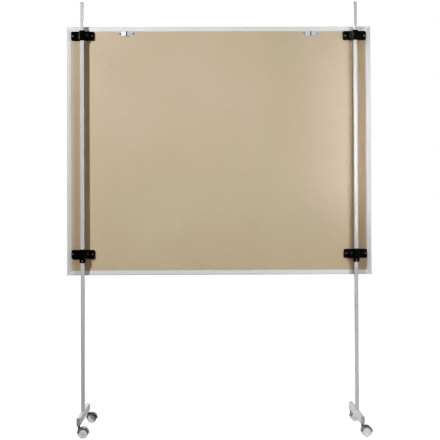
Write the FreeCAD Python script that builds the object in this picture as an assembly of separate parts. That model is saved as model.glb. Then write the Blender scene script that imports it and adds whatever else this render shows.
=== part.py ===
import FreeCAD, Part
import math
import os

# Mobile planning board: a framed board clamped to two posts, each on a foot with two twin-wheel castors.
# Millimetres. +Z is up and the floor is z = 0. The origin lies on the floor at the middle of the feet.
# The board's bare back faces -Y, its writing face +Y. Left is -X and right is +X, as seen from behind.

# Board
BOARD_WIDTH = 1500.0
BOARD_HEIGHT = 1224.0
BOARD_BOTTOM = 758.0            # height of the board's lower edge above the floor
BACK_PANEL = 3.0                # hardboard thickness
SHEET = 0.6                     # enamelled steel thickness
SHEET_SET_BACK = 0.2            # the sheet's rim lies this much behind its face
SHEET_EDGE_GAP = 0.3            # between the frame's front lips and the sheet's raised face
PANEL_EDGE_GAP = 0.4            # between a panel's edge and the rail's chamber

# Frame rails
RAIL_FACE = 22.5                # width seen from behind
RAIL_FRONT_FACE = 19.0          # width seen from the writing side
RAIL_DEPTH = 20.0
RAIL_WALL = 1.5
RAIL_CHAMBER = 14.0             # outer width of the closed chamber
RAIL_STEP = 1.0                 # the back lip lies this much below the chamber's back
RAIL_ROUND = 3.0                # outer edges
KEY_ARM = 48.0                  # corner key, measured from the board's corner
KEY_CLEARANCE = 0.1

# Wall hangers on the back panel
HANGER_SPACING = 909.0
HANGER_LENGTH = 78.0
HANGER_HEIGHT = 21.0
HANGER_SHEET = 1.5
HANGER_BRIDGE = 6.0             # length of the level crown between its two slopes
HANGER_RISE = 6.0               # room for a hook behind the crown
HANGER_TAB = 14.0               # length of each screwed end
HANGER_BEND = 1.2               # radius of the bends at the screwed ends
HANGER_CROWN_BEND = 6.0         # inner radius of the bends at the crown
HANGER_GAP = 1.0                # below the top rail
HANGER_CORNER = 6.0

# Posts
POST = 18.0                     # outer side of the square tube
POST_WALL = 1.5
POST_ROUND = 2.0
POST_TO_PANEL = 24.0            # post axis to the back panel
POST_OFFSET = -25.0             # post axis from the middle of the foot
TOTAL_HEIGHT = 2100.0
POST_CAP = 8.0                  # height of the cap that shows
POST_CAP_EDGE = 1.0
POST_CAP_PLUG = 18.0
POST_PLUG = 32.0                # threaded plug in the foot of the post
PLUG_CLEARANCE = 0.1            # between a plug and the tube round it

# Clamps
CLAMP_LENGTH = 112.0
CLAMP_HEIGHT = 43.0
CLAMP_OFFSET = 1.3              # post axis from the middle of the wings, towards the side rail
CLAMP_WING = 8.0                # thickness of the wings
CLAMP_WALL = 4.7                # round the post
CLAMP_CLEARANCE = 0.3           # between sleeve and post
CLAMP_SIDE_GAP = 1.5            # from a wing's end to the side rail
CLAMP_TOP_GAP = 2.3             # from the upper clamps to the top rail
LOWER_CLAMP = 81.5              # lower clamps' underside above the board's lower edge
CLAMP_CORNER = 6.0
CLAMP_BLEND = 5.0               # hollow where the sleeve meets a wing
CLAMP_NOSE = 5.0                # sleeve's front edges
CLAMP_EDGE = 1.2                # small round on the clamp's outer edges
SLEEVE_LIP = 2.4                # rim of the sleeve, above and below the wings
POCKET_DEPTH = 2.5
POCKET_RIM = 4.5
POCKET_CORNER = 3.0
SCREW_REACH = 47.0              # clamp screws from the post axis
SCREW_BOSS_RADIUS = 6.8

# Knobs and their threads
KNOB_RADIUS = 11.0
KNOB_LENGTH = 13.5
KNOB_GAP = 0.5                  # between knob and boss
KNOB_CHAMFER = 1.0
KNOB_DOME = 4.0                 # height of the domed end
KNOB_CROWN_RADIUS = 6.6         # where the dome flattens out
KNOB_SHOULDER = 1.3             # round where the dome meets the grip
KNOB_FLUTES = 10
KNOB_FLUTE_RADIUS = 2.2
KNOB_FLUTE_DEPTH = 1.1
BOSS_RADIUS = 7.5
BOSS_LENGTH = 3.0
INSERT_RADIUS = 4.5
STUD_RADIUS = 3.0
STUD_IN_KNOB = 8.0
STUD_TIP_GAP = 0.3              # between the stud's tip and the post
THREAD_CLEARANCE = 0.05
SEAT_CLEARANCE = 0.02           # round pieces that are fixed in a hole

# Stop collars under the lower clamps
COLLAR_WALL = 5.2
COLLAR_HEIGHT = 15.5
COLLAR_ROUND = 5.0
COLLAR_EDGE = 1.2
COLLAR_HEAD_RADIUS = 5.0
COLLAR_HEAD = 4.0
COLLAR_HEAD_EDGE = 0.8
COLLAR_HEX = 5.0                # across flats
COLLAR_HEX_DEPTH = 2.5

# Wood screws of the clamps and hangers
SCREW_RADIUS = 2.0
SCREW_HEAD_RADIUS = 4.5
SCREW_HEAD = 2.8
SCREW_DOME = 1.4                # round of the head's edge
SCREW_DEPTH = 9.0               # into the board
SCREW_SLOT = 1.1                # width of the cross recess
SCREW_SLOT_LENGTH = 5.0
SCREW_SLOT_DEPTH = 1.5
SCREW_HOLE = 0.2                # radial room in clamps and hangers
PILOT_CLEARANCE = 0.05          # radial room in the panels

# Feet
FOOT_LENGTH = 500.0
FOOT_WIDTH = 18.0
FOOT_HEIGHT = 37.0
FOOT_WALL = 1.5
FOOT_ROUND = 3.0
FOOT_CAP = 4.0                  # thickness of the cap that shows
FOOT_CAP_EDGE = 1.2
FOOT_CAP_PLUG = 46.0
BOLT_RADIUS = 4.0
BOLT_HEX = 13.0                 # across flats
BOLT_HEAD = 5.0
BOLT_IN_PLUG = 26.0
BOLT_HOLE = 0.2                 # radial room in the foot

# Castors
WHEEL_RADIUS = 24.5
WHEEL_WIDTH = 12.5
WHEEL_BORE_CLEARANCE = 0.05
WHEEL_SHOULDER = 3.5            # rounded outer edge of the tread
WHEEL_INNER_SHOULDER = 2.0
WHEEL_RIM = 6.5                 # radial thickness of the rim
WHEEL_HUB_RADIUS = 7.5
WHEEL_DISC = 6.0                # thickness of the disc between hub and rim
WHEEL_DISH = 1.4                # depth of the ring groove on the outer face
WHEEL_CAP_RADIUS = 9.0
WHEEL_SKIN = 3.0                # over the axle's end
CASTOR_TRAIL = 20.0             # axle behind the swivel axis
CASTOR_INSET = 24.0             # swivel axis from the foot's end
WEB = 14.0                      # middle wall of the hood, between the wheels
WEB_GAP = 0.4                   # between web and wheel
HOOD_GAP = 0.8                  # between hood and wheel
HOOD_WALL = 2.0
HOOD_LIP = 5.0                  # how far the hood's two side lips reach in over the wheels' faces
HOOD_LIP_WALL = 1.6
HOOD_EDGE = 1.2
HOOD_BEAD_RADIUS = 1.4          # bead along the hood's two lower edges
AXLE_RADIUS = 3.0
AXLE_BOSS_RADIUS = 7.0
NECK_RADIUS = 6.0
NECK_RISE = 4.8                 # neck above the hood's crown
STEM_RADIUS = 4.0
STEM_CLEARANCE = 0.05
STEM_IN_NECK = 20.0
STEM_IN_FOOT = 32.0
STEM_FLANGE_RADIUS = 6.9
STEM_FLANGE = 2.0
STEM_GAP = 0.4                  # between the flange and the neck, and under the stem

# Brake pedals on the two front castors
PEDAL_PIVOT_INSET = 8.0         # pivot inside the hood's inner face
PEDAL_PIVOT_ANGLE = 5.0         # about the axle, above level
PEDAL_PIN_RADIUS = 1.5
PEDAL_PIN_CLEARANCE = 0.1
PEDAL_EYE_RADIUS = 3.5
PEDAL_TONGUE = 4.6
PEDAL_WIDTH = 15.0
PEDAL_THICK = 3.0
PEDAL_LOW_ANGLE = -4.0
PEDAL_HIGH_ANGLE = 24.0
PEDAL_TOE = 3.0                 # how far the toe end stands out
PEDAL_TOE_ANGLE = 6.0
PEDAL_GAP = 0.8                 # between the pedal and the ears under it
PEDAL_ROOM = 0.4                # each side of the tongue and round the eye
PEDAL_EAR_RADIUS = 3.7          # round the pivot holes
NOTCH_ROOM = 1.0                # each side of the pedal, in the hood
NOTCH_LOW_ANGLE = -6.0
NOTCH_TOP_ANGLE = 30.0
SLOT_TOP_ANGLE = 36.0
SLOT_FLOOR = 1.0                # web left round the axle boss

# Places worked out from the sizes above
BOARD_TOP = BOARD_BOTTOM + BOARD_HEIGHT
PANEL_BACK = POST_OFFSET + POST_TO_PANEL
BOARD_BACK = PANEL_BACK - RAIL_STEP - RAIL_WALL
BOARD_FRONT = BOARD_BACK + RAIL_DEPTH
CORE_BACK = PANEL_BACK + BACK_PANEL
SHEET_FRONT = BOARD_FRONT - RAIL_WALL
SHEET_BACK = SHEET_FRONT - SHEET
POST_X = BOARD_WIDTH / 2 - RAIL_FACE - CLAMP_SIDE_GAP - CLAMP_LENGTH / 2 + CLAMP_OFFSET
SLEEVE_HOLE = POST + 2 * CLAMP_CLEARANCE
SLEEVE_HALF = SLEEVE_HOLE / 2 + CLAMP_WALL
UPPER_CLAMP_Z = BOARD_TOP - RAIL_FACE - CLAMP_TOP_GAP - CLAMP_HEIGHT / 2
LOWER_CLAMP_Z = BOARD_BOTTOM + LOWER_CLAMP + CLAMP_HEIGHT / 2
HANGER_TOP = BOARD_TOP - RAIL_FACE - HANGER_GAP
HANGER_Z = HANGER_TOP - HANGER_HEIGHT / 2
HANGER_SCREW_X = HANGER_LENGTH / 2 - HANGER_TAB / 2
KNOB_START = SLEEVE_HALF + BOSS_LENGTH + KNOB_GAP
COLLAR_TOP = LOWER_CLAMP_Z - CLAMP_HEIGHT / 2 - SLEEVE_LIP
COLLAR_LOW = COLLAR_TOP - COLLAR_HEIGHT
COLLAR_HALF = SLEEVE_HOLE / 2 + COLLAR_WALL
HOOD_INNER = WHEEL_RADIUS + HOOD_GAP
HOOD_OUTER = HOOD_INNER + HOOD_WALL
HOOD_HALF = WEB / 2 + WEB_GAP + WHEEL_WIDTH + HOOD_GAP + HOOD_LIP_WALL
NECK_TOP = WHEEL_RADIUS + HOOD_OUTER + NECK_RISE
FOOT_BOTTOM = NECK_TOP + STEM_GAP + STEM_FLANGE
FOOT_TOP = FOOT_BOTTOM + FOOT_HEIGHT
CASTOR_Y = FOOT_LENGTH / 2 - CASTOR_INSET

V = FreeCAD.Vector
RIGHT, FORWARD, UP = V(1, 0, 0), V(0, 1, 0), V(0, 0, 1)
BACKWARD, DOWN = V(0, -1, 0), V(0, 0, -1)


# Small building tools
def plane(origin, across, along):
    """Rule that sets a flat (u, v) point in space."""
    return lambda u, v: origin + across * u + along * v


def outline(corners, place):
    """Closed wire through (u, v, radius) corners, each rounded by its radius and set in space by place."""
    points = [V(u, v, 0) for u, v, _ in corners]
    starts, middles, ends = [], [], []
    for i, (_, _, radius) in enumerate(corners):
        corner = points[i]
        to_last = (points[i - 1] - corner).normalize()
        to_next = (points[(i + 1) % len(points)] - corner).normalize()
        half = to_last.getAngle(to_next) / 2
        reach = radius / math.tan(half)
        inward = (to_last + to_next).normalize() if radius else V()
        starts.append(corner + to_last * reach)
        middles.append(corner + inward * (radius / math.sin(half) - radius))
        ends.append(corner + to_next * reach)
    edges = []
    for i, (_, _, radius) in enumerate(corners):
        after = (i + 1) % len(corners)
        if radius:
            bend = [place(p.x, p.y) for p in (starts[i], middles[i], ends[i])]
            edges.append(Part.Arc(*bend).toShape())
        if ends[i].distanceToPoint(starts[after]) > 1e-6:
            run = [place(p.x, p.y) for p in (ends[i], starts[after])]
            edges.append(Part.LineSegment(*run).toShape())
    return Part.Wire(edges)


def prism(corners, place, travel):
    """Solid swept by an outline along a straight travel."""
    return Part.Face(outline(corners, place)).extrude(travel)


def turned(corners, centre, axis, radial):
    """Solid of revolution: corners are (radius, distance along the axis, corner radius)."""
    face = Part.Face(outline(corners, plane(centre, radial, axis)))
    return face.revolve(centre, axis, 360)


def rectangle(width, height, radius):
    """Corners of a rectangle about its middle, all rounded alike."""
    a, b = width / 2, height / 2
    return [(-a, -b, radius), (a, -b, radius), (a, b, radius), (-a, b, radius)]


def hexagon(across_flats):
    """Corners of a hexagon about its middle."""
    radius = across_flats / math.sqrt(3)
    turns = [math.radians(60 * k) for k in range(6)]
    return [(radius * math.cos(a), radius * math.sin(a), 0) for a in turns]


def rod(radius, start, direction, length):
    """Round bar from a start point along a direction."""
    return Part.makeCylinder(radius, length, start, direction)


def block(x, y, z):
    """Box given by its (low, high) along each axis."""
    return Part.makeBox(x[1] - x[0], y[1] - y[0], z[1] - z[0], V(x[0], y[0], z[0]))


def rounded(shape, radius, chosen):
    """Shape with the edges that the rule chooses rounded."""
    return shape.makeFillet(radius, [edge for edge in shape.Edges if chosen(edge)])


def in_plane(edge, normal, offset):
    """Whether an edge lies wholly in the plane of points whose distance along the normal is offset."""
    first, last = edge.ParameterRange
    samples = [edge.valueAt(first + (last - first) * k / 4) for k in range(5)]
    return all(abs(p.dot(normal) - offset) < 1e-4 for p in samples)


# Frame rails: one aluminium extrusion with a closed chamber and two lips, mitred at its ends
def rail(length):
    """Rail along X with its outer edge at z = 0 and its lips pointing up."""
    chamber, wall, depth = RAIL_CHAMBER, RAIL_WALL, RAIL_DEPTH
    section = [
        (0, 0, RAIL_ROUND),
        (chamber, 0, 0),
        (chamber, RAIL_STEP, 0),
        (RAIL_FACE, RAIL_STEP, 0),
        (RAIL_FACE, RAIL_STEP + wall, 0),
        (chamber, RAIL_STEP + wall, 0),
        (chamber, depth - wall, 0),
        (RAIL_FRONT_FACE, depth - wall, 0),
        (RAIL_FRONT_FACE, depth, 0),
        (0, depth, RAIL_ROUND),
    ]
    hollow = [
        (wall, wall, 0),
        (chamber - wall, wall, 0),
        (chamber - wall, depth - wall, 0),
        (wall, depth - wall, 0),
    ]
    end = plane(V(-length / 2, BOARD_BACK, 0), UP, FORWARD)
    bar = prism(section, end, RIGHT * length).cut(prism(hollow, end, RIGHT * length))
    mitre = [
        (-length / 2, 0, 0),
        (length / 2, 0, 0),
        (length / 2 - RAIL_FACE, RAIL_FACE, 0),
        (-length / 2 + RAIL_FACE, RAIL_FACE, 0),
    ]
    return bar.common(prism(mitre, plane(V(0, BOARD_BACK, 0), RIGHT, UP), FORWARD * depth))


def rails():
    """The four rails in their places."""
    side, middle = BOARD_WIDTH / 2, (BOARD_BOTTOM + BOARD_TOP) / 2
    return {
        "bottom_rail": rail(BOARD_WIDTH).translated(V(0, 0, BOARD_BOTTOM)),
        "top_rail": rail(BOARD_WIDTH).rotated(V(), FORWARD, 180).translated(V(0, 0, BOARD_TOP)),
        "left_rail": rail(BOARD_HEIGHT).rotated(V(), FORWARD, 90).translated(V(-side, 0, middle)),
        "right_rail": rail(BOARD_HEIGHT).rotated(V(), FORWARD, -90).translated(V(side, 0, middle)),
    }


def corner_keys():
    """L-shaped keys that join the rails, one inside each corner."""
    low = RAIL_WALL + KEY_CLEARANCE
    high = RAIL_CHAMBER - low
    shape = [
        (low, low, 0),
        (KEY_ARM, low, 0),
        (KEY_ARM, high, 0),
        (high, high, 0),
        (high, KEY_ARM, 0),
        (low, KEY_ARM, 0),
    ]
    keys = []
    for side in (-1, 1):
        for edge, inward in ((BOARD_BOTTOM, UP), (BOARD_TOP, DOWN)):
            corner = V(side * BOARD_WIDTH / 2, BOARD_BACK + low, edge)
            place = plane(corner, RIGHT * -side, inward)
            keys.append(prism(shape, place, FORWARD * (RAIL_DEPTH - 2 * low)))
    return Part.makeCompound(keys)


# Panels: hardboard back, light core and enamelled steel sheet, held in the rails' groove
def panel(back, front, inset=RAIL_CHAMBER + PANEL_EDGE_GAP):
    """Sheet that fills the frame between two depths, inset from the board's edges."""
    half = BOARD_WIDTH / 2 - inset
    return block((-half, half), (back, front), (BOARD_BOTTOM + inset, BOARD_TOP - inset))


def screw_places():
    """(x, z, thickness under the head) of every wood screw in the back panel."""
    places = []
    for side in (-1, 1):
        for z in (UPPER_CLAMP_Z, LOWER_CLAMP_Z):
            places += [(side * POST_X + end * SCREW_REACH, z, CLAMP_WING) for end in (-1, 1)]
        middle = side * HANGER_SPACING / 2
        places += [(middle + end * HANGER_SCREW_X, HANGER_Z, HANGER_SHEET) for end in (-1, 1)]
    return places


def drilled(sheet):
    """Panel with a pilot hole for every wood screw."""
    radius, depth = SCREW_RADIUS + PILOT_CLEARANCE, SCREW_DEPTH + PILOT_CLEARANCE
    return sheet.cut([rod(radius, V(x, PANEL_BACK, z), FORWARD, depth) for x, z, _ in screw_places()])


def writing_sheet():
    """Steel sheet whose rim is pressed back a little under the frame's front lips."""
    rim = panel(SHEET_BACK, SHEET_FRONT - SHEET_SET_BACK)
    face = panel(SHEET_BACK, SHEET_FRONT, RAIL_FRONT_FACE + SHEET_EDGE_GAP)
    return rim.fuse(face).removeSplitter()


def panels():
    """The three layers of the board."""
    return {
        "back_panel": drilled(panel(PANEL_BACK, CORE_BACK)),
        "core_panel": drilled(panel(CORE_BACK, SHEET_BACK)),
        "writing_sheet": writing_sheet(),
    }


def wood_screw(x, z, under_head):
    """Pan-head screw with a cross recess, driven forward into the board."""
    seat = V(x, PANEL_BACK - under_head, z)
    head = [
        (0, 0, 0),
        (SCREW_HEAD_RADIUS, 0, 0),
        (SCREW_HEAD_RADIUS, SCREW_HEAD, SCREW_DOME),
        (0, SCREW_HEAD, 0),
    ]
    shank = rod(SCREW_RADIUS, seat, FORWARD, under_head + SCREW_DEPTH)
    top = seat.y - SCREW_HEAD
    deep = (top, top + SCREW_SLOT_DEPTH)
    half, arm = SCREW_SLOT / 2, SCREW_SLOT_LENGTH / 2
    upright = block((x - half, x + half), deep, (z - arm, z + arm))
    level = block((x - arm, x + arm), deep, (z - half, z + half))
    return turned(head, seat, BACKWARD, RIGHT).fuse(shank).cut(upright.fuse(level))


def board_screws():
    """Every wood screw of the clamps and hangers."""
    return Part.makeCompound([wood_screw(*place) for place in screw_places()])


# Wall hangers: zinc-plated strips, screwed at both ends and raised in the middle for a hook
def hanger(side):
    """Bridge-shaped hanger with two screw holes."""
    end, crown = HANGER_LENGTH / 2, HANGER_BRIDGE / 2
    foot = end - HANGER_TAB
    slope = math.atan2(HANGER_RISE, foot - crown)
    shift = HANGER_SHEET * math.tan(slope / 2)
    top, crown_bend = HANGER_RISE + HANGER_SHEET, HANGER_CROWN_BEND
    half = [
        (end, 0, 0),
        (end, HANGER_SHEET, 0),
        (foot + shift, HANGER_SHEET, HANGER_BEND),
        (crown + shift, top, crown_bend + HANGER_SHEET),
    ]
    under = [(crown, HANGER_RISE, crown_bend), (foot, 0, HANGER_BEND)]
    mirrored = [(-u, v, r) for u, v, r in reversed(half)]
    profile = half + mirrored + [(-u, v, r) for u, v, r in reversed(under)] + under
    middle = V(side * HANGER_SPACING / 2, PANEL_BACK, HANGER_Z)
    low = middle + DOWN * (HANGER_HEIGHT / 2)
    strip = prism(profile, plane(low, RIGHT, BACKWARD), UP * HANGER_HEIGHT)
    plate = rectangle(HANGER_LENGTH, HANGER_HEIGHT, HANGER_CORNER)
    strip = strip.common(prism(plate, plane(middle, RIGHT, UP), BACKWARD * top))
    hole = SCREW_RADIUS + SCREW_HOLE
    starts = [middle + RIGHT * (way * HANGER_SCREW_X) for way in (-1, 1)]
    return strip.cut([rod(hole, start, BACKWARD, top) for start in starts])


# Clamps: black moulded brackets, screwed to the back panel, with a sleeve round the post
def sleeve_hole(side, low, height):
    """Square opening that a post passes through with a little room."""
    corners = rectangle(SLEEVE_HOLE, SLEEVE_HOLE, POST_ROUND + CLAMP_CLEARANCE)
    return prism(corners, plane(V(side * POST_X, POST_OFFSET, low), RIGHT, FORWARD), UP * height)


def clamp(side, height):
    """Bracket with two wings, a square sleeve and a knob boss on its inboard side."""
    half, nose = CLAMP_LENGTH / 2, POST_TO_PANEL + SLEEVE_HALF
    off = -side * CLAMP_OFFSET
    plan = [
        (off - half, 0, 0),
        (off + half, 0, 0),
        (off + half, CLAMP_WING, 0),
        (SLEEVE_HALF, CLAMP_WING, CLAMP_BLEND),
        (SLEEVE_HALF, nose, CLAMP_NOSE),
        (-SLEEVE_HALF, nose, CLAMP_NOSE),
        (-SLEEVE_HALF, CLAMP_WING, CLAMP_BLEND),
        (off - half, CLAMP_WING, 0),
    ]
    seat = V(side * POST_X, PANEL_BACK, height)
    middle = seat + RIGHT * off
    low = seat + DOWN * (CLAMP_HEIGHT / 2)
    body = prism(plan, plane(low, RIGHT, BACKWARD), UP * CLAMP_HEIGHT)
    face = rectangle(CLAMP_LENGTH, CLAMP_HEIGHT, CLAMP_CORNER)
    body = body.common(prism(face, plane(middle, RIGHT, UP), BACKWARD * nose))
    body = rounded(body, CLAMP_EDGE, lambda edge: on_clamp_rim(edge, middle))
    for way in (-1, 1):
        hole = rod(SCREW_RADIUS + SCREW_HOLE, seat + RIGHT * (way * SCREW_REACH), BACKWARD, CLAMP_WING)
        body = body.cut(wing_pocket(seat, way, half + way * off)).cut(hole)
    inboard = RIGHT * -side
    axis = V(seat.x, POST_OFFSET, height)
    wall = SLEEVE_HOLE / 2
    boss = rod(BOSS_RADIUS, axis + inboard * wall, inboard, SLEEVE_HALF - wall + BOSS_LENGTH)
    body = body.fuse([sleeve_lip(axis, DOWN), sleeve_lip(axis, UP), boss])
    body = body.cut(sleeve_hole(side, low.z - SLEEVE_LIP, CLAMP_HEIGHT + 2 * SLEEVE_LIP))
    insert = rod(INSERT_RADIUS + SEAT_CLEARANCE, axis, inboard, SLEEVE_HALF + BOSS_LENGTH)
    return body.cut(insert).removeSplitter()


def on_clamp_rim(edge, middle):
    """Whether an edge runs round the clamp's top, underside or a wing's front, clear of the panel."""
    if edge.BoundBox.YMax > middle.y - 1e-4:
        return False
    top_or_under = any(in_plane(edge, UP, middle.z + s * CLAMP_HEIGHT / 2) for s in (-1, 1))
    wing_end = any(in_plane(edge, RIGHT, middle.x + s * CLAMP_LENGTH / 2) for s in (-1, 1))
    curved = edge.Curve.TypeId == "Part::GeomCircle"
    wing_corner = curved and in_plane(edge, BACKWARD, CLAMP_WING - middle.y)
    return top_or_under or wing_end or wing_corner


def sleeve_lip(axis, way):
    """Rim of the sleeve round the post, above or below the wings."""
    size = 2 * (SLEEVE_HALF - CLAMP_EDGE)
    seat = axis + way * (CLAMP_HEIGHT / 2)
    shape = rectangle(size, size, CLAMP_NOSE - CLAMP_EDGE)
    lip = prism(shape, plane(seat, RIGHT, FORWARD), way * SLEEVE_LIP)
    end = (seat + way * SLEEVE_LIP).z
    return rounded(lip, CLAMP_EDGE, lambda edge: in_plane(edge, UP, end))


def wing_pocket(seat, way, reach):
    """Shallow moulding recess in a wing that ends at reach from the post axis, round the screw's boss."""
    inner = SLEEVE_HALF + CLAMP_BLEND + CLAMP_EDGE
    outer = reach - POCKET_RIM
    floor = seat + BACKWARD * (CLAMP_WING - POCKET_DEPTH)
    shape = rectangle(outer - inner, CLAMP_HEIGHT - 2 * POCKET_RIM, POCKET_CORNER)
    middle = floor + RIGHT * (way * (inner + outer) / 2)
    recess = prism(shape, plane(middle, RIGHT, UP), BACKWARD * POCKET_DEPTH)
    return recess.cut(rod(SCREW_BOSS_RADIUS, floor + RIGHT * (way * SCREW_REACH), BACKWARD, POCKET_DEPTH))


def clamp_insert(side, height):
    """Brass thread insert in a clamp's boss."""
    inboard = RIGHT * -side
    start = V(side * POST_X, POST_OFFSET, height) + inboard * (SLEEVE_HOLE / 2)
    length = SLEEVE_HALF + BOSS_LENGTH - SLEEVE_HOLE / 2
    thread = rod(STUD_RADIUS + THREAD_CLEARANCE, start, inboard, length)
    return rod(INSERT_RADIUS, start, inboard, length).cut(thread)


# Knobs: fluted plastic heads moulded on a steel stud that presses on the post
def knob(side, height):
    """Domed head with finger flutes."""
    inboard = RIGHT * -side
    start = V(side * POST_X, POST_OFFSET, height) + inboard * KNOB_START
    shape = [
        (0, 0, 0),
        (KNOB_RADIUS - KNOB_CHAMFER, 0, 0),
        (KNOB_RADIUS, KNOB_CHAMFER, 0),
        (KNOB_RADIUS, KNOB_LENGTH - KNOB_DOME, KNOB_SHOULDER),
        (KNOB_CROWN_RADIUS, KNOB_LENGTH, KNOB_DOME),
        (0, KNOB_LENGTH, 0),
    ]
    flutes = []
    off = KNOB_RADIUS + KNOB_FLUTE_RADIUS - KNOB_FLUTE_DEPTH
    for k in range(KNOB_FLUTES):
        turn = 2 * math.pi * k / KNOB_FLUTES
        place = start + V(0, off * math.sin(turn), off * math.cos(turn))
        flutes.append(rod(KNOB_FLUTE_RADIUS, place, inboard, KNOB_LENGTH))
    socket = rod(STUD_RADIUS + SEAT_CLEARANCE, start, inboard, STUD_IN_KNOB + SEAT_CLEARANCE)
    return turned(shape, start, inboard, UP).cut(flutes + [socket])


def knob_stud(side, height):
    """Threaded stud, from inside the knob to just short of the post."""
    inboard = RIGHT * -side
    tip = POST / 2 + STUD_TIP_GAP
    start = V(side * POST_X, POST_OFFSET, height) + inboard * tip
    return rod(STUD_RADIUS, start, inboard, KNOB_START + STUD_IN_KNOB - tip)


# Stop collars: black blocks on the posts, under the lower clamps, each held by a socket screw
def stop_collar(side):
    """Rounded square collar with a hole for its screw."""
    base = V(side * POST_X, POST_OFFSET, COLLAR_LOW)
    shape = rectangle(2 * COLLAR_HALF, 2 * COLLAR_HALF, COLLAR_ROUND)
    collar = prism(shape, plane(base, RIGHT, FORWARD), UP * COLLAR_HEIGHT)
    ends = (COLLAR_LOW, COLLAR_TOP)
    collar = rounded(collar, COLLAR_EDGE, lambda edge: any(in_plane(edge, UP, z) for z in ends))
    collar = collar.cut(sleeve_hole(side, COLLAR_LOW, COLLAR_HEIGHT))
    middle = base + UP * (COLLAR_HEIGHT / 2)
    return collar.cut(rod(STUD_RADIUS + THREAD_CLEARANCE, middle, BACKWARD, COLLAR_HALF))


def collar_screw(side):
    """Socket screw through the collar's back wall, just short of the post."""
    seat = V(side * POST_X, POST_OFFSET - COLLAR_HALF, COLLAR_LOW + COLLAR_HEIGHT / 2)
    head = [
        (0, 0, 0),
        (COLLAR_HEAD_RADIUS, 0, 0),
        (COLLAR_HEAD_RADIUS, COLLAR_HEAD, COLLAR_HEAD_EDGE),
        (0, COLLAR_HEAD, 0),
    ]
    shank = rod(STUD_RADIUS, seat, FORWARD, COLLAR_HALF - POST / 2 - STUD_TIP_GAP)
    floor = seat + BACKWARD * (COLLAR_HEAD - COLLAR_HEX_DEPTH)
    socket = prism(hexagon(COLLAR_HEX), plane(floor, RIGHT, UP), BACKWARD * COLLAR_HEX_DEPTH)
    return turned(head, seat, BACKWARD, RIGHT).fuse(shank).cut(socket)


# Posts: square steel tubes with a cap on top and a threaded plug at the foot
def square_bar(side, size, radius, low, height):
    """Upright square bar on a post's axis."""
    place = plane(V(side * POST_X, POST_OFFSET, low), RIGHT, FORWARD)
    return prism(rectangle(size, size, radius), place, UP * height)


def post_filler(side, low, height):
    """Plug that fits inside a post."""
    size = POST - 2 * POST_WALL - 2 * PLUG_CLEARANCE
    return square_bar(side, size, max(POST_ROUND - POST_WALL, 0), low, height)


def post(side):
    """Square tube from the foot to the cap."""
    height = TOTAL_HEIGHT - POST_CAP - FOOT_TOP
    hollow = square_bar(side, POST - 2 * POST_WALL, max(POST_ROUND - POST_WALL, 0), FOOT_TOP, height)
    return square_bar(side, POST, POST_ROUND, FOOT_TOP, height).cut(hollow)


def post_cap(side):
    """Plastic cap with a plug that holds it in the tube."""
    rim = TOTAL_HEIGHT - POST_CAP
    cap = square_bar(side, POST, POST_ROUND, rim, POST_CAP)
    cap = rounded(cap, POST_CAP_EDGE, lambda edge: in_plane(edge, UP, TOTAL_HEIGHT))
    return cap.fuse(post_filler(side, rim - POST_CAP_PLUG, POST_CAP_PLUG))


def post_plug(side):
    """Steel plug with the thread for the foot bolt."""
    hole = rod(BOLT_RADIUS + SEAT_CLEARANCE, V(side * POST_X, POST_OFFSET, FOOT_TOP), UP, POST_PLUG)
    return post_filler(side, FOOT_TOP, POST_PLUG).cut(hole)


def post_bolt(side):
    """Hexagon bolt from under the foot into the post's plug."""
    seat = V(side * POST_X, POST_OFFSET, FOOT_BOTTOM)
    head = prism(hexagon(BOLT_HEX), plane(seat, RIGHT, FORWARD), DOWN * BOLT_HEAD)
    return head.fuse(rod(BOLT_RADIUS, seat, UP, FOOT_HEIGHT + BOLT_IN_PLUG))


# Feet: rectangular steel tubes with an end cap, which holds a castor's stem, at each end
def level_bar(side, width, height, radius, start, travel):
    """Bar along Y on a foot's axis."""
    place = plane(V(side * POST_X, start, FOOT_BOTTOM + FOOT_HEIGHT / 2), RIGHT, UP)
    return prism(rectangle(width, height, radius), place, FORWARD * travel)


def foot(side):
    """Rectangular tube with holes for the post's bolt and the two castor stems."""
    x, end, wall = side * POST_X, FOOT_LENGTH / 2 - FOOT_CAP, 2 * FOOT_WALL
    corner = max(FOOT_ROUND - FOOT_WALL, 0)
    tube = level_bar(side, FOOT_WIDTH, FOOT_HEIGHT, FOOT_ROUND, -end, 2 * end)
    tube = tube.cut(level_bar(side, FOOT_WIDTH - wall, FOOT_HEIGHT - wall, corner, -end, 2 * end))
    tube = tube.cut(rod(BOLT_RADIUS + BOLT_HOLE, V(x, POST_OFFSET, FOOT_BOTTOM), UP, FOOT_HEIGHT))
    seats = [V(x, way * CASTOR_Y, FOOT_BOTTOM) for way in (-1, 1)]
    return tube.cut([rod(STEM_RADIUS + BOLT_HOLE, seat, UP, FOOT_HEIGHT / 2) for seat in seats])


def foot_cap(side, way):
    """End cap whose plug fills the tube's end and takes the castor's stem."""
    end = way * FOOT_LENGTH / 2
    seat, room = end - way * FOOT_CAP, 2 * FOOT_WALL + 2 * PLUG_CLEARANCE
    corner = max(FOOT_ROUND - FOOT_WALL, 0)
    cap = level_bar(side, FOOT_WIDTH, FOOT_HEIGHT, FOOT_ROUND, seat, way * FOOT_CAP)
    cap = rounded(cap, FOOT_CAP_EDGE, lambda edge: in_plane(edge, FORWARD, end))
    plug = level_bar(side, FOOT_WIDTH - room, FOOT_HEIGHT - room, corner, seat, -way * FOOT_CAP_PLUG)
    start = V(side * POST_X, way * CASTOR_Y, FOOT_BOTTOM)
    return cap.fuse(plug).cut(rod(STEM_RADIUS + SEAT_CLEARANCE, start, UP, STEM_IN_FOOT + SEAT_CLEARANCE))


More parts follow.
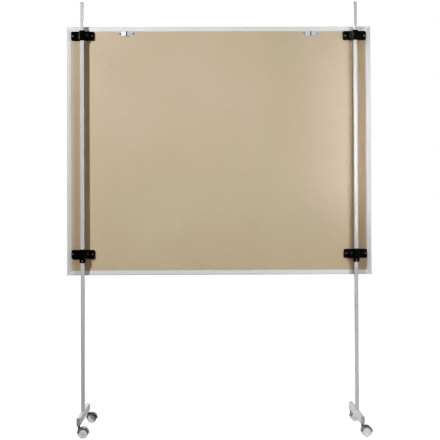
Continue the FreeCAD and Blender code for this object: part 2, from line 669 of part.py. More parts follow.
# Castors: a moulded hood that swivels on a steel stem, an axle through its web and two wheels
def axle_centre(side, way):
    """Middle of a castor's axle."""
    return V(side * POST_X + CASTOR_TRAIL, way * CASTOR_Y, WHEEL_RADIUS)


def castor_stem(side, way):
    """Stem fixed in the foot cap, with a flange under the foot and a lower end for the hood's neck."""
    foot_point = V(side * POST_X, way * CASTOR_Y, FOOT_BOTTOM)
    length = STEM_IN_FOOT + FOOT_BOTTOM - NECK_TOP + STEM_IN_NECK
    pin = rod(STEM_RADIUS, foot_point + UP * STEM_IN_FOOT, DOWN, length)
    return pin.fuse(rod(STEM_FLANGE_RADIUS, foot_point, DOWN, STEM_FLANGE))


def arc_plate(axle, width, inner, outer, low, high):
    """Part of a ring about the axle, between two radii and two angles above level."""
    turns = [math.radians(angle) for angle in (low, (low + high) / 2, high)]
    near = axle + BACKWARD * (width / 2)
    rim = [near + V(outer * math.cos(a), 0, outer * math.sin(a)) for a in turns]
    core = [near + V(inner * math.cos(a), 0, inner * math.sin(a)) for a in turns]
    edges = [
        Part.Arc(*rim).toShape(),
        Part.LineSegment(rim[2], core[2]).toShape(),
        Part.Arc(*reversed(core)).toShape(),
        Part.LineSegment(core[0], rim[0]).toShape(),
    ]
    return Part.Face(Part.Wire(edges)).extrude(FORWARD * width)


def castor_hood(side, way, braked):
    """Web between the wheels, lipped half-round roof with beaded edges over them, and the stem's neck."""
    axle = axle_centre(side, way)
    faces = [axle.y - HOOD_HALF, axle.y + HOOD_HALF]
    roof = arc_plate(axle, 2 * HOOD_HALF, HOOD_INNER, HOOD_OUTER, 0, 180)
    middles = [axle + FORWARD * (s * (HOOD_HALF - HOOD_LIP_WALL / 2)) for s in (-1, 1)]
    lips = [arc_plate(middle, HOOD_LIP_WALL, HOOD_INNER - HOOD_LIP, HOOD_OUTER, 0, 180) for middle in middles]
    roof = roof.fuse(lips).removeSplitter()
    roof = rounded(roof, HOOD_EDGE, lambda edge: on_hood_rim(edge, faces))
    reach = HOOD_HALF - HOOD_EDGE
    corners = [axle + V(s * HOOD_OUTER, -reach, 0) for s in (-1, 1)]
    beads = [rod(HOOD_BEAD_RADIUS, corner, FORWARD, 2 * reach) for corner in corners]
    web = arc_plate(axle, WEB, AXLE_RADIUS, HOOD_INNER + HOOD_WALL / 2, 0, 180)
    near = axle + BACKWARD * (WEB / 2)
    boss = rod(AXLE_BOSS_RADIUS, near, FORWARD, WEB)
    swivel = V(side * POST_X, axle.y, NECK_TOP)
    neck = rod(NECK_RADIUS, swivel, DOWN, NECK_TOP - WHEEL_RADIUS)
    hood = roof.fuse(beads + [web, boss, neck]).removeSplitter()
    hood = hood.cut(rod(AXLE_RADIUS + SEAT_CLEARANCE, near, FORWARD, WEB))
    hood = hood.cut(rod(STEM_RADIUS + STEM_CLEARANCE, swivel, DOWN, STEM_IN_NECK + STEM_GAP))
    return fit_for_pedal(hood, axle) if braked else hood


def on_hood_rim(edge, faces):
    """Whether an edge is the outer arc on one of the roof's two end faces."""
    round_edge = edge.Curve.TypeId == "Part::GeomCircle" and abs(edge.Curve.Radius - HOOD_OUTER) < 1e-6
    return round_edge and any(in_plane(edge, FORWARD, face) for face in faces)


def pedal_pivot(axle):
    """Centre of a brake pedal's pivot."""
    reach, turn = HOOD_INNER - PEDAL_PIVOT_INSET, math.radians(PEDAL_PIVOT_ANGLE)
    return axle + V(reach * math.cos(turn), 0, reach * math.sin(turn))


def fit_for_pedal(hood, axle):
    """Hood with a notch in its tail, a slot in its web and two ears with the pivot holes."""
    pivot = pedal_pivot(axle)
    hood = hood.fuse(rod(PEDAL_EAR_RADIUS, pivot + BACKWARD * (WEB / 2), FORWARD, WEB))
    past = HOOD_OUTER + 2 * HOOD_BEAD_RADIUS
    notch_width, slot_width = PEDAL_WIDTH + 2 * NOTCH_ROOM, PEDAL_TONGUE + 2 * PEDAL_ROOM
    notch_floor, slot_floor = HOOD_INNER - PEDAL_GAP, AXLE_BOSS_RADIUS + SLOT_FLOOR
    notch = arc_plate(axle, notch_width, notch_floor, past, NOTCH_LOW_ANGLE, NOTCH_TOP_ANGLE)
    slot = arc_plate(axle, slot_width, slot_floor, HOOD_INNER, NOTCH_LOW_ANGLE, SLOT_TOP_ANGLE)
    eye = rod(PEDAL_EYE_RADIUS + PEDAL_ROOM, pivot + BACKWARD * (slot_width / 2), FORWARD, slot_width)
    hole = rod(PEDAL_PIN_RADIUS + PEDAL_PIN_CLEARANCE, pivot + BACKWARD * (WEB / 2), FORWARD, WEB)
    return hood.cut([notch, slot, eye, hole]).removeSplitter()


def brake_pedal(side, way):
    """Foot pedal with a tongue between the ears and its own pivot pin."""
    axle = axle_centre(side, way)
    pivot = pedal_pivot(axle)
    inner, outer = HOOD_INNER, HOOD_INNER + PEDAL_THICK
    toe_high = PEDAL_LOW_ANGLE + PEDAL_TOE_ANGLE
    paddle = arc_plate(axle, PEDAL_WIDTH, inner, outer, PEDAL_LOW_ANGLE, PEDAL_HIGH_ANGLE)
    toe = arc_plate(axle, PEDAL_WIDTH, inner, outer + PEDAL_TOE, PEDAL_LOW_ANGLE, toe_high)
    middle = (inner + outer) / 2
    turns = [math.radians(angle) for angle in (toe_high, PEDAL_HIGH_ANGLE)]
    joins = [axle + V(middle * math.cos(a), 0, middle * math.sin(a)) for a in turns]
    half = FORWARD * (PEDAL_TONGUE / 2)
    corners = [pivot + DOWN * PEDAL_EYE_RADIUS, *joins, pivot + UP * PEDAL_EYE_RADIUS]
    arm = Part.Face(Part.makePolygon([c - half for c in corners + corners[:1]])).extrude(half * 2)
    eye = rod(PEDAL_EYE_RADIUS, pivot - half, FORWARD, PEDAL_TONGUE)
    length = WEB - 2 * PEDAL_PIN_CLEARANCE
    pin = rod(PEDAL_PIN_RADIUS, pivot + BACKWARD * (length / 2), FORWARD, length)
    return paddle.fuse([toe, arm, eye, pin]).removeSplitter()


def castor_axle(side, way):
    """Pin through the web and into both wheels."""
    half = WEB / 2 + WHEEL_WIDTH - WHEEL_SKIN
    return rod(AXLE_RADIUS, axle_centre(side, way) + BACKWARD * half, FORWARD, 2 * half)


def wheel(side, way, face):
    """Wheel with a rounded tread, a hub and a ringed outer face; face is the web's side that it runs on."""
    out = FORWARD * face
    start = axle_centre(side, way) + out * (WEB / 2 + WEB_GAP)
    bore = AXLE_RADIUS + WHEEL_BORE_CLEARANCE
    rim, disc = WHEEL_RADIUS - WHEEL_RIM, WHEEL_WIDTH - WHEEL_DISC
    groove, blind = WHEEL_WIDTH - WHEEL_DISH, WHEEL_WIDTH - WHEEL_SKIN
    shape = [
        (bore, 0, 0),
        (WHEEL_HUB_RADIUS, 0, 0),
        (WHEEL_HUB_RADIUS, disc, 0),
        (rim, disc, 0),
        (rim, 0, 0),
        (WHEEL_RADIUS, 0, WHEEL_INNER_SHOULDER),
        (WHEEL_RADIUS, WHEEL_WIDTH, WHEEL_SHOULDER),
        (rim, WHEEL_WIDTH, 0),
        (rim - WHEEL_DISH, groove, 0),
        (WHEEL_CAP_RADIUS + WHEEL_DISH, groove, 0),
        (WHEEL_CAP_RADIUS, WHEEL_WIDTH, 0),
        (0, WHEEL_WIDTH, 0),
        (0, blind, 0),
        (bore, blind, 0),
    ]
    return turned(shape, start, out, UP)


# The whole object, piece by piece
def pieces():
    """Every piece by its name."""
    sides = {"left": -1, "right": 1}
    levels = {"upper": UPPER_CLAMP_Z, "lower": LOWER_CLAMP_Z}
    ends = {"back": -1, "front": 1}
    clamps = [(side, height) for side in sides.values() for height in levels.values()]
    castors = [(side, way) for side in sides.values() for way in ends.values()]
    made = {**rails(), "corner_keys": corner_keys(), **panels(), "board_screws": board_screws()}
    made["clamp_inserts"] = Part.makeCompound([clamp_insert(*place) for place in clamps])
    made["post_plugs"] = Part.makeCompound([post_plug(side) for side in sides.values()])
    made["post_bolts"] = Part.makeCompound([post_bolt(side) for side in sides.values()])
    made["castor_stems"] = Part.makeCompound([castor_stem(*place) for place in castors])
    for name, side in sides.items():
        made[f"{name}_hanger"] = hanger(side)
        made[f"{name}_stop_collar"] = stop_collar(side)
        made[f"{name}_collar_screw"] = collar_screw(side)
        made[f"{name}_post"] = post(side)
        made[f"{name}_post_cap"] = post_cap(side)
        made[f"{name}_foot"] = foot(side)
        for level, height in levels.items():
            made[f"{level}_{name}_clamp"] = clamp(side, height)
            made[f"{level}_{name}_knob"] = knob(side, height)
            made[f"{level}_{name}_knob_stud"] = knob_stud(side, height)
        for end, way in ends.items():
            braked = end == "front"
            made[f"{end}_{name}_foot_cap"] = foot_cap(side, way)
            made[f"{end}_{name}_castor_hood"] = castor_hood(side, way, braked)
            made[f"{end}_{name}_castor_axle"] = castor_axle(side, way)
            made[f"{end}_{name}_outer_wheel"] = wheel(side, way, way)
            made[f"{end}_{name}_inner_wheel"] = wheel(side, way, -way)
            if braked:
                made[f"{end}_{name}_brake_pedal"] = brake_pedal(side, way)
    return made


os.makedirs("parts", exist_ok=True)
for name, shape in pieces().items():
    shape.exportStep(f"parts/{name}.step")
    print(name, "solids", len(shape.Solids), "valid", shape.isValid(), "volume", round(shape.Volume))
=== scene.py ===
import math

import bpy
from mathutils import Matrix, Vector


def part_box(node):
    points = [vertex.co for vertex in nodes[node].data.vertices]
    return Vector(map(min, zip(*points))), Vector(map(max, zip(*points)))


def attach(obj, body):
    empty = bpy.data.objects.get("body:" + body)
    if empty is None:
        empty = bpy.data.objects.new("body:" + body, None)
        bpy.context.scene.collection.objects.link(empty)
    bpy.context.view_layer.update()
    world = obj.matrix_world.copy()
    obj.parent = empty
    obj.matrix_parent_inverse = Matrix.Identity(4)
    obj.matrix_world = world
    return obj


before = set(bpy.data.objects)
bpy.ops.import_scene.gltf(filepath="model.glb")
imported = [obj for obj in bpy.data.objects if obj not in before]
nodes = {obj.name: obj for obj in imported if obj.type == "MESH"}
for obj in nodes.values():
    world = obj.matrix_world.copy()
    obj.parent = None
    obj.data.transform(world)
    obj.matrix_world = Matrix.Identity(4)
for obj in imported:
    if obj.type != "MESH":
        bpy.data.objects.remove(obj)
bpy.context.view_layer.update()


# Back panel
# The bare back of the board is a 3 mm sheet of pressed wood fibre, smooth side out, in a warm tan.
# It shows soft clouds, a fine grain and short darker fibres, and is held in the groove of the frame.
PANEL_TAN = (0.522, 0.434, 0.331, 1)
PANEL_PALE = (0.556, 0.466, 0.359, 1)
PANEL_CLOUDS = 2.1
PANEL_MOTTLE = 130
PANEL_MOTTLE_SHADES = (0.965, 1.035)
PANEL_GRAIN = 520
PANEL_GRAIN_SHADES = (0.93, 1.07)
PANEL_SHINE = 0.25
PANEL_ROUGHNESS = (0.66, 0.84)
PANEL_RELIEF = 0.00008
FIBRE_TURNS = (12, 74, -48)
FIBRE_STRETCH = (170, 170, 1500)
FIBRE_SHADES = (1, 0.72)
FIBRE_EDGES = (0.66, 0.76)
NOISE_LOW = 0.3
NOISE_HIGH = 0.7


def add(tree, kind, inputs, **settings):
    """Adds one node. Inputs are constants or the outputs of other nodes, by socket name or number."""
    made = tree.nodes.new(kind)
    for name, value in settings.items():
        setattr(made, name, value)
    for socket, value in inputs.items():
        if isinstance(value, bpy.types.NodeSocket):
            tree.links.new(value, made.inputs[socket])
        else:
            made.inputs[socket].default_value = value
    return made


def finish(name, **sockets):
    """New material with constants on its shader, given with its tree, its shader and its coordinates."""
    material = bpy.data.materials.new(name)
    material.use_nodes = True
    tree = material.node_tree
    shader = tree.nodes["Principled BSDF"]
    for socket, value in sockets.items():
        shader.inputs[socket.replace("_", " ")].default_value = value
    place = tree.nodes.new("ShaderNodeTexCoord").outputs["Object"]
    return material, tree, shader, place


def grain(tree, place, scale=1, detail=2, roughness=0.5):
    """Even noise of about 1 / scale metres."""
    inputs = {"Vector": place, "Scale": scale, "Detail": detail, "Roughness": roughness}
    return add(tree, "ShaderNodeTexNoise", inputs).outputs[0]


def drawn(tree, place, stretch, turn=(0, 0, 0)):
    """The same coordinates, turned and scaled by axis, so that a pattern is drawn out along one of them."""
    inputs = {"Vector": place, "Rotation": [math.radians(angle) for angle in turn], "Scale": stretch}
    return add(tree, "ShaderNodeMapping", inputs).outputs[0]


def spread(tree, value, low, high, start=NOISE_LOW, end=NOISE_HIGH):
    """Maps a value from start to end on the range from low to high."""
    inputs = {"Value": value, "From Min": start, "From Max": end, "To Min": low, "To Max": high}
    return add(tree, "ShaderNodeMapRange", inputs).outputs[0]


def between(tree, value, first, second):
    """Colour between two colours."""
    mix = add(tree, "ShaderNodeMix", {"Factor": value}, data_type="RGBA")
    for socket, colour in ((6, first), (7, second)):
        if isinstance(colour, bpy.types.NodeSocket):
            tree.links.new(colour, mix.inputs[socket])
        else:
            mix.inputs[socket].default_value = colour
    return mix.outputs[2]


def mottled(tree, noise, first, second, start=NOISE_LOW, end=NOISE_HIGH):
    """Colour that goes from the first to the second as a noise rises from start to end."""
    return between(tree, spread(tree, noise, 0, 1, start, end), first, second)


def times(tree, colour, value):
    """Colour made darker or lighter by a factor."""
    return add(tree, "ShaderNodeVectorMath", {0: colour, "Scale": value}, operation="SCALE").outputs[0]


def surface(tree, shader, colour, roughness):
    """Gives a shader its colour and its roughness."""
    tree.links.new(colour, shader.inputs["Base Color"])
    tree.links.new(roughness, shader.inputs["Roughness"])


def relief(tree, shader, height, depth):
    """Small surface relief, depth in metres."""
    bump = add(tree, "ShaderNodeBump", {"Height": height, "Distance": depth, "Strength": 1.0})
    tree.links.new(bump.outputs[0], shader.inputs["Normal"])


def dress(material, *names):
    """Gives CAD nodes their finish."""
    for name in names:
        for slot in nodes[name].material_slots:
            slot.material = material


hardboard, tree, shader, place = finish("pressed_fibre_board", Specular_IOR_Level=PANEL_SHINE)
clouds = grain(tree, place, PANEL_CLOUDS, detail=3)
mottle = grain(tree, place, PANEL_MOTTLE, detail=3, roughness=0.6)
fine = grain(tree, place, PANEL_GRAIN, detail=3, roughness=0.6)
colour = mottled(tree, clouds, PANEL_TAN, PANEL_PALE)
colour = times(tree, colour, spread(tree, mottle, *PANEL_MOTTLE_SHADES))
colour = times(tree, colour, spread(tree, fine, *PANEL_GRAIN_SHADES))
for turn in FIBRE_TURNS:
    fibres = grain(tree, drawn(tree, place, FIBRE_STRETCH, (0, turn, 0)), detail=1)
    colour = times(tree, colour, spread(tree, fibres, *FIBRE_SHADES, *FIBRE_EDGES))
surface(tree, shader, colour, spread(tree, fine, *PANEL_ROUGHNESS))
relief(tree, shader, fine, PANEL_RELIEF)
dress(hardboard, "back_panel")


# Core of the board
# A light filling of grey fibre board between the back panel and the sheet, glued to both.
# The frame covers its edges on all four sides.
CORE_GREY = (0.36, 0.34, 0.30, 1)
CORE_PALE = (0.46, 0.44, 0.39, 1)
CORE_FLOCK = 260
CORE_SHINE = 0.2
CORE_ROUGHNESS = (0.8, 0.95)
CORE_RELIEF = 0.0002

core_board, tree, shader, place = finish("grey_core_board", Specular_IOR_Level=CORE_SHINE)
flock = grain(tree, place, CORE_FLOCK, detail=4, roughness=0.65)
colour = mottled(tree, flock, CORE_GREY, CORE_PALE)
surface(tree, shader, colour, spread(tree, flock, *CORE_ROUGHNESS))
relief(tree, shader, flock, CORE_RELIEF)
dress(core_board, "core_panel")


# Writing face
# The front is a sheet of steel with a white fired enamel, glossy and very slightly wavy.
# Faint rubbed traces of old writing dull the gloss here and there.
ENAMEL_WHITE = (0.83, 0.84, 0.84, 1)
ENAMEL_RUBBED = (0.79, 0.80, 0.805, 1)
ENAMEL_COAT = 0.25
ENAMEL_COAT_ROUGHNESS = 0.08
ENAMEL_SPECKS = 900
ENAMEL_SPECK_SHADES = (0.99, 1.01)
ENAMEL_ROUGHNESS = (0.14, 0.26)
ENAMEL_WAVES = 140
ENAMEL_RELIEF = 0.00004
TRACE_STRETCH = (3.5, 3.5, 7)
TRACE_TURN = (0, 28, 0)
TRACE_EDGES = (0.5, 0.8)

enamel, tree, shader, place = finish("white_enamel", Coat_Weight=ENAMEL_COAT,
                                     Coat_Roughness=ENAMEL_COAT_ROUGHNESS)
traces = grain(tree, drawn(tree, place, TRACE_STRETCH, TRACE_TURN), detail=5, roughness=0.62)
specks = grain(tree, place, ENAMEL_SPECKS)
colour = mottled(tree, traces, ENAMEL_WHITE, ENAMEL_RUBBED, *TRACE_EDGES)
colour = times(tree, colour, spread(tree, specks, *ENAMEL_SPECK_SHADES))
surface(tree, shader, colour, spread(tree, traces, *ENAMEL_ROUGHNESS))
relief(tree, shader, grain(tree, place, ENAMEL_WAVES), ENAMEL_RELIEF)
dress(enamel, "writing_sheet")


# Planning grid
# Thin grey lines screen printed on the enamel before it is fired, a few hundredths of a millimetre high.
# Even boxes follow a wide first column. The left border and every fifth column line are twice as wide.
GRID_BOX = 0.050
GRID_COLUMNS = 25
GRID_ROWS = 23
GRID_FIRST_COLUMN = 0.170
GRID_LINE = 0.0012
GRID_WIDE_EVERY = 5.0
GRID_INK = 0.0001
GRID_PROUD = 0.00004
LINE_GREY = (0.20, 0.22, 0.25, 1)
LINE_WORN = (0.30, 0.32, 0.35, 1)
LINE_SHINE = 0.5
LINE_WEAR = 45
LINE_WEAR_EDGES = (0.45, 0.75)
LINE_ROUGHNESS = (0.25, 0.4)

printed_line, tree, shader, place = finish("printed_line", Specular_IOR_Level=LINE_SHINE)
worn = grain(tree, place, LINE_WEAR, detail=4, roughness=0.6)
colour = mottled(tree, worn, LINE_GREY, LINE_WORN, *LINE_WEAR_EDGES)
surface(tree, shader, colour, spread(tree, worn, *LINE_ROUGHNESS))

grid_tree = bpy.data.node_groups.new("planning_grid", "GeometryNodeTree")
grid_inputs = {}
for name, kind in (("Box", "Float"), ("Columns", "Int"), ("Rows", "Int"), ("First Column", "Float"),
                   ("Line", "Float"), ("Ink", "Float"), ("Centre", "Vector"), ("Finish", "Material")):
    socket = grid_tree.interface.new_socket(name, in_out="INPUT", socket_type="NodeSocket" + kind)
    grid_inputs[name] = socket.identifier
grid_tree.interface.new_socket("Lines", in_out="OUTPUT", socket_type="NodeSocketGeometry")
given = grid_tree.nodes.new("NodeGroupInput").outputs


def sums(tree, operation, first, second):
    """One step of arithmetic on two numbers."""
    return add(tree, "ShaderNodeMath", {0: first, 1: second}, operation=operation).outputs[0]


def vector(x, y, z):
    """Three numbers of the grid as a vector."""
    return add(grid_tree, "ShaderNodeCombineXYZ", {0: x, 1: y, 2: z}).outputs[0]


def ruled(count, pitch, start, size, scale):
    """A row of equal bars, count of them at the pitch from start on, as instances."""
    inputs = {"Count": count, "Start Location": start, "Offset": pitch}
    line = add(grid_tree, "GeometryNodeMeshLine", inputs)
    bar = add(grid_tree, "GeometryNodeMeshCube", {"Size": size})
    inputs = {"Points": line.outputs[0], "Instance": bar.outputs[0], "Scale": scale}
    return add(grid_tree, "GeometryNodeInstanceOnPoints", inputs).outputs[0]


boxes_wide = sums(grid_tree, "MULTIPLY", given["Box"], given["Columns"])
wide = sums(grid_tree, "ADD", boxes_wide, given["First Column"])
high = sums(grid_tree, "MULTIPLY", given["Box"], given["Rows"])
left_edge = sums(grid_tree, "MULTIPLY", wide, -0.5)
low_edge = sums(grid_tree, "MULTIPLY", high, -0.5)
first_box = sums(grid_tree, "ADD", left_edge, given["First Column"])
tall_bar = vector(given["Line"], given["Ink"], sums(grid_tree, "ADD", high, given["Line"]))
long_bar = vector(sums(grid_tree, "ADD", wide, given["Line"]), given["Ink"], given["Line"])
number = add(grid_tree, "GeometryNodeInputIndex", {}).outputs[0]
past_wide = sums(grid_tree, "MODULO", number, GRID_WIDE_EVERY)
widened = sums(grid_tree, "ADD", sums(grid_tree, "LESS_THAN", past_wide, 0.5), 1.0)
column_count = sums(grid_tree, "ADD", given["Columns"], 1.0)
row_count = sums(grid_tree, "ADD", given["Rows"], 1.0)
columns = ruled(column_count, vector(given["Box"], 0.0, 0.0), vector(first_box, 0.0, 0.0), tall_bar,
                vector(widened, 1.0, 1.0))
border = ruled(1, (0, 0, 0), vector(left_edge, 0.0, 0.0), tall_bar, (2, 1, 1))
rows = ruled(row_count, vector(0.0, 0.0, given["Box"]), vector(0.0, 0.0, low_edge), long_bar, (1, 1, 1))
joined = grid_tree.nodes.new("GeometryNodeJoinGeometry")
for bars in (columns, border, rows):
    grid_tree.links.new(bars, joined.inputs[0])
inputs = {"Geometry": joined.outputs[0], "Translation": given["Centre"]}
moved = add(grid_tree, "GeometryNodeTransform", inputs)
real = add(grid_tree, "GeometryNodeRealizeInstances", {"Geometry": moved.outputs[0]})
inputs = {"Geometry": real.outputs[0], "Material": given["Finish"]}
inked = add(grid_tree, "GeometryNodeSetMaterial", inputs)
grid_out = grid_tree.nodes.new("NodeGroupOutput")
grid_tree.links.new(inked.outputs[0], grid_out.inputs[0])

sheet_low, sheet_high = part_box("writing_sheet")
sheet_centre = (sheet_low + sheet_high) / 2
grid_depth = sheet_high.y + GRID_PROUD - GRID_INK / 2
seed = bpy.data.objects.new("grid_seed", bpy.data.meshes.new("grid_seed"))
bpy.context.scene.collection.objects.link(seed)
modifier = seed.modifiers.new("planning_grid", "NODES")
modifier.node_group = grid_tree
for name, value in (("Box", GRID_BOX), ("Columns", GRID_COLUMNS), ("Rows", GRID_ROWS),
                    ("First Column", GRID_FIRST_COLUMN), ("Line", GRID_LINE), ("Ink", GRID_INK),
                    ("Centre", (sheet_centre.x, grid_depth, sheet_centre.z)), ("Finish", printed_line)):
    modifier[grid_inputs[name]] = value
made_grid = seed.evaluated_get(bpy.context.evaluated_depsgraph_get())
grid = bpy.data.objects.new("planning_grid", bpy.data.meshes.new_from_object(made_grid))
bpy.context.scene.collection.objects.link(grid)
bpy.data.objects.remove(seed)
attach(grid, "board")


# Frame rails
# Four lengths of satin anodised aluminium extrusion, mitred at 45 degrees and pushed over corner keys.
# Fine drawing lines run along each length, and a hair-thin dark joint shows at each mitre.
# The level lengths are a lit copy, and the upright lengths a copy with painted shade, 17 % darker.
RAIL_SILVER = (0.710, 0.716, 0.708, 1)
RAIL_DULL = (0.670, 0.676, 0.668, 1)
RAIL_METALLIC = 0.18
RAIL_CLOUDS = 9
RAIL_LINE_SHADES = (0.95, 1.05)
RAIL_ROUGHNESS = (0.50, 0.64)
RAIL_RELIEF = 0.00001
LEVEL_STRETCH = (4, 1600, 1600)
# Painted light and shade: the level lengths keep the full tone, and the uprights are painted darker.
LEVEL_PAINTED_SHADE = 1.0
UPRIGHT_STRETCH = (1600, 1600, 4)
UPRIGHT_PAINTED_SHADE = 0.83
MITRE_SHADE = 0.35
MITRE_HALF = 0.00035
rail_boxes = [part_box(name + "_rail") for name in ("left", "right", "top", "bottom")]
board_low = Vector([min(low[axis] for low, high in rail_boxes) for axis in range(3)])
board_high = Vector([max(high[axis] for low, high in rail_boxes) for axis in range(3)])


def size_of(tree, value):
    """A number without its sign."""
    return add(tree, "ShaderNodeMath", {0: value}, operation="ABSOLUTE").outputs[0]


def rail_finish(name, stretch, shade):
    """Anodised aluminium with its lines along the axis that has the small stretch, darkened by a painted
    shade factor.
    """
    metal, tree, shader, place = finish(name, Metallic=RAIL_METALLIC)
    lines = grain(tree, drawn(tree, place, stretch), detail=3, roughness=0.6)
    clouds = grain(tree, place, RAIL_CLOUDS, detail=3)
    colour = mottled(tree, clouds, RAIL_SILVER, RAIL_DULL)
    # Painted shade: the line tones are scaled by the shade factor of this copy.
    colour = times(tree, colour, spread(tree, lines, *(tone * shade for tone in RAIL_LINE_SHADES)))
    inputs = {0: place, 1: (board_low + board_high) / 2}
    centred = add(tree, "ShaderNodeVectorMath", inputs, operation="SUBTRACT").outputs[0]
    away = add(tree, "ShaderNodeVectorMath", {0: centred}, operation="ABSOLUTE").outputs[0]
    parts = add(tree, "ShaderNodeSeparateXYZ", {0: away}).outputs
    corner = (board_high - board_low) / 2
    across = sums(tree, "SUBTRACT", sums(tree, "SUBTRACT", parts[0], parts[2]), corner.x - corner.z)
    joint = spread(tree, size_of(tree, across), MITRE_SHADE, 1, MITRE_HALF / 2, MITRE_HALF)
    surface(tree, shader, times(tree, colour, joint), spread(tree, lines, *RAIL_ROUGHNESS))
    relief(tree, shader, lines, RAIL_RELIEF)
    return metal


level_metal_painted_lit = rail_finish("anodised_aluminium_level_painted_lit", LEVEL_STRETCH, LEVEL_PAINTED_SHADE)
dress(level_metal_painted_lit, "top_rail", "bottom_rail")
upright_metal_painted_shade = rail_finish("anodised_aluminium_upright_painted_shade", UPRIGHT_STRETCH, UPRIGHT_PAINTED_SHADE)
dress(upright_metal_painted_shade, "left_rail", "right_rail")


# Corner keys
# L-shaped keys of die-cast zinc alloy inside the rails' chambers pull the four mitres together.
# They are left as cast, dull and slightly pitted.
KEY_GREY = (0.40, 0.41, 0.42, 1)
KEY_DARK = (0.28, 0.29, 0.30, 1)
KEY_METALLIC = 0.9
KEY_PITS = 700
KEY_ROUGHNESS = (0.5, 0.7)
KEY_RELIEF = 0.0001

cast_metal, tree, shader, place = finish("cast_key_metal", Metallic=KEY_METALLIC)
pits = grain(tree, place, KEY_PITS, detail=4, roughness=0.6)
surface(tree, shader, mottled(tree, pits, KEY_GREY, KEY_DARK), spread(tree, pits, *KEY_ROUGHNESS))
relief(tree, shader, pits, KEY_RELIEF)
dress(cast_metal, "corner_keys")


# Wall hangers and screws
# Two strips of zinc plated sheet steel, bent to a low roof, each held to the back by two wood screws.
# The hangers are bright, with rolling lines and a painted dark reflection along the fold, and the screws
# are dull.
ZINC_BRIGHT = (0.56, 0.58, 0.615, 1)
ZINC_BLUISH = (0.45, 0.47, 0.505, 1)
HANGER_METALLIC = 0.35
HANGER_ROUGHNESS = (0.50, 0.64)
# Painted dark reflection along the fold of each hanger: its darkest factor, and the distances where it is
# darkest and where it ends.
FOLD_PAINTED_REFLECTION = 0.20
FOLD_DARK = 0.0010
FOLD_CLEAR = 0.0046
SCREW_GREY = (0.330, 0.338, 0.346, 1)
SCREW_DARK = (0.235, 0.242, 0.250, 1)
SCREW_METALLIC = 0.8
SCREW_ROUGHNESS = (0.34, 0.48)
ZINC_MOTTLE = 160
ZINC_RELIEF = 0.00003
ROLLED_STRETCH = (90, 2400, 2400)
ROLLED_SHADES = (0.93, 1.05)
SIDES = ("left", "right")


def zinc_plate(name, bright, dark, metallic, roughness, fold=None):
    """Zinc plated steel with a mottle between two tones, and a painted dark reflection along a fold at X =
    fold.
    """
    zinc, tree, shader, place = finish(name, Metallic=metallic)
    mottle = grain(tree, place, ZINC_MOTTLE, detail=4, roughness=0.6)
    rolled = grain(tree, drawn(tree, place, ROLLED_STRETCH))
    colour = mottled(tree, mottle, bright, dark)
    colour = times(tree, colour, spread(tree, rolled, *ROLLED_SHADES))
    if fold is not None:
        along = add(tree, "ShaderNodeSeparateXYZ", {0: place}).outputs[0]
        beside = size_of(tree, sums(tree, "SUBTRACT", along, fold))
        # Painted dark reflection: darkens the colour near the fold.
        colour = times(tree, colour, spread(tree, beside, FOLD_PAINTED_REFLECTION, 1, FOLD_DARK, FOLD_CLEAR))
    surface(tree, shader, colour, spread(tree, rolled, *roughness))
    relief(tree, shader, rolled, ZINC_RELIEF)
    return zinc


for side in SIDES:
    low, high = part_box(side + "_hanger")
    ridge = (low.x + high.x) / 2
    bright_zinc = zinc_plate(side + "_bright_zinc_painted_fold_reflection", ZINC_BRIGHT, ZINC_BLUISH, HANGER_METALLIC,
                             HANGER_ROUGHNESS, ridge)
    dress(bright_zinc, side + "_hanger")
dull_zinc = zinc_plate("dull_zinc_plate", SCREW_GREY, SCREW_DARK, SCREW_METALLIC, SCREW_ROUGHNESS)
dress(dull_zinc, "board_screws")


# Posts and feet
# Square steel tube posts stand on flat rectangular tube feet, both powder coated in a light grey.
# The coat has a fine orange peel and faint rub lines along each tube, on the posts from the clamps.
COAT_GREY = (0.530, 0.545, 0.535, 1)
COAT_SHADE = (0.501, 0.515, 0.506, 1)
COAT_SHINE = 0.45
COAT_CLOUDS = 5
COAT_PEEL = 620
COAT_PEEL_SHADES = (0.985, 1.015)
COAT_ROUGHNESS = (0.24, 0.36)
COAT_RELIEF = 0.00006
RUB_SHADES = (1, 0.93)
RUB_EDGES = (0.62, 0.78)
POST_STRETCH = (700, 700, 3)
FOOT_STRETCH = (700, 3, 700)


def powder_coat(name, stretch):
    """Powder coat on a tube, with its rub lines along the axis that has the small stretch."""
    coat, tree, shader, place = finish(name, Specular_IOR_Level=COAT_SHINE)
    peel = grain(tree, place, COAT_PEEL)
    rub = grain(tree, drawn(tree, place, stretch), detail=3, roughness=0.6)
    colour = mottled(tree, grain(tree, place, COAT_CLOUDS, detail=3), COAT_GREY, COAT_SHADE)
    colour = times(tree, colour, spread(tree, rub, *RUB_SHADES, *RUB_EDGES))
    colour = times(tree, colour, spread(tree, peel, *COAT_PEEL_SHADES))
    surface(tree, shader, colour, spread(tree, peel, *COAT_ROUGHNESS))
    relief(tree, shader, peel, COAT_RELIEF)
    return coat


dress(powder_coat("post_powder_coat", POST_STRETCH), *(side + "_post" for side in SIDES))
dress(powder_coat("foot_powder_coat", FOOT_STRETCH), *(side + "_foot" for side in SIDES))


# Plugs and bolts of the posts
# A threaded steel plug is pressed into the lower end of each post.
# A hexagon bolt from under the foot pulls it down. Both are plain steel with fine turning marks.
STEEL_GREY = (0.47, 0.475, 0.48, 1)
STEEL_DARK = (0.33, 0.335, 0.34, 1)
STEEL_MOTTLE = 220
STEEL_ROUGHNESS = (0.26, 0.42)
STEEL_RELIEF = 0.00004
TURNED_STRETCH = (300, 300, 2600)
TURNED_SHADES = (0.92, 1.06)

